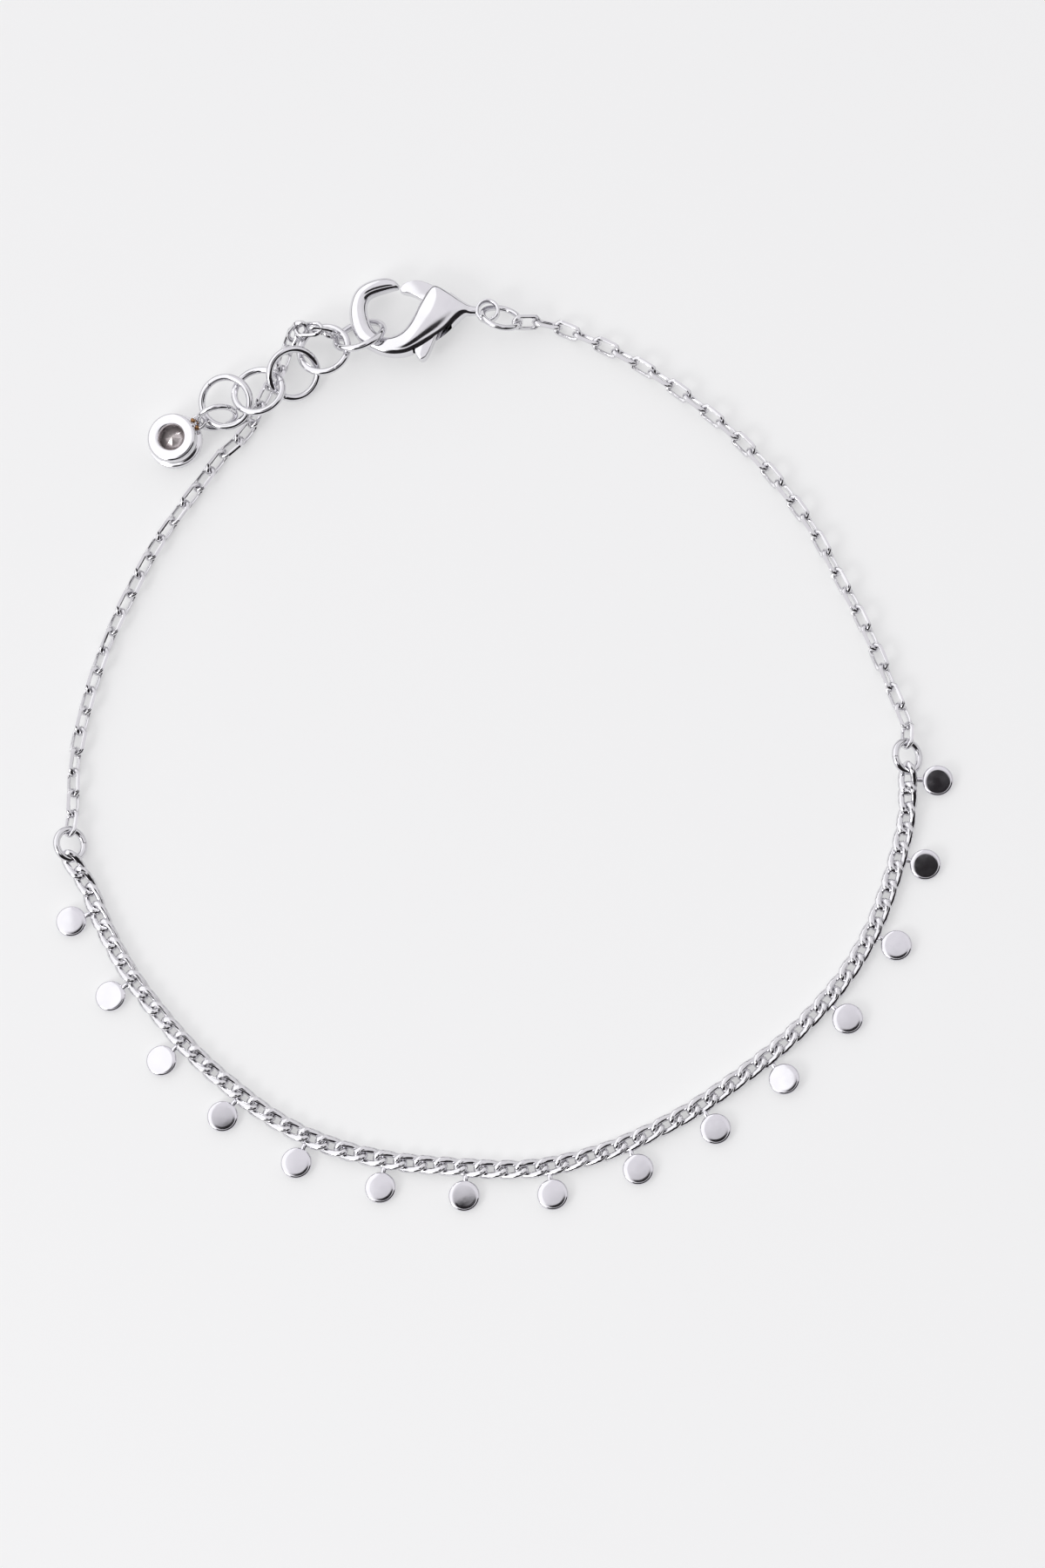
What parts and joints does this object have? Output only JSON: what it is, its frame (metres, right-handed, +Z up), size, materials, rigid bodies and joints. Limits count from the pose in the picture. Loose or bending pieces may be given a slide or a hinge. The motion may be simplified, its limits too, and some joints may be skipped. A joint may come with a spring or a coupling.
{
  "type": "bracelet",
  "caption": "Fine chain bracelet closed in a loop, small round coins along a curb chain, cable chain sides, lobster clasp, ring extender with a stone-set end drop.",
  "frame": {"origin": "on the surface the bracelet lies on, under the middle of its bounding box", "axes": "+Z up, +Y from the coins towards the clasp, +X to the right seen from above with the coins at the near side"},
  "size_m": [0.0609, 0.0652, 0.0029],
  "materials": {
    "rhodium_plate": "high polish rhodium-coloured plating on brass or silver",
    "crystal": "clear faceted stone, polished"
  },
  "bodies": {
    "bracelet": {"curb_chain": "rhodium_plate", "cable_chain_left": "rhodium_plate", "cable_chain_right": "rhodium_plate", "curb_ring_left": "rhodium_plate", "curb_ring_right": "rhodium_plate", "coin_01": "rhodium_plate", "coin_02": "rhodium_plate", "coin_03": "rhodium_plate", "coin_04": "rhodium_plate", "coin_05": "rhodium_plate", "coin_06": "rhodium_plate", "coin_07": "rhodium_plate", "coin_08": "rhodium_plate", "coin_09": "rhodium_plate", "coin_10": "rhodium_plate", "coin_11": "rhodium_plate", "coin_12": "rhodium_plate", "coin_13": "rhodium_plate", "coin_14": "rhodium_plate", "coin_15": "rhodium_plate", "clasp_ring": "rhodium_plate", "clasp_body": "rhodium_plate", "extender_ring_1": "rhodium_plate", "extender_ring_2": "rhodium_plate", "extender_ring_3": "rhodium_plate", "extender_ring_4": "rhodium_plate", "extender_ring_5": "rhodium_plate", "drop_ring": "rhodium_plate", "end_drop": "rhodium_plate", "drop_crystal": "crystal"},
    "clasp_lever": {"clasp_lever": "rhodium_plate"}
  },
  "joints": [
    {"name": "clasp_lever_hinge", "type": "hinge", "parent": "bracelet", "child": "clasp_lever", "pos_m": [-0.00437, 0.0301, 0.00125], "axis": [0, 0, 1], "range_deg": [0, 25], "stiffness_Nm_per_rad": 0.0002}
  ]
}
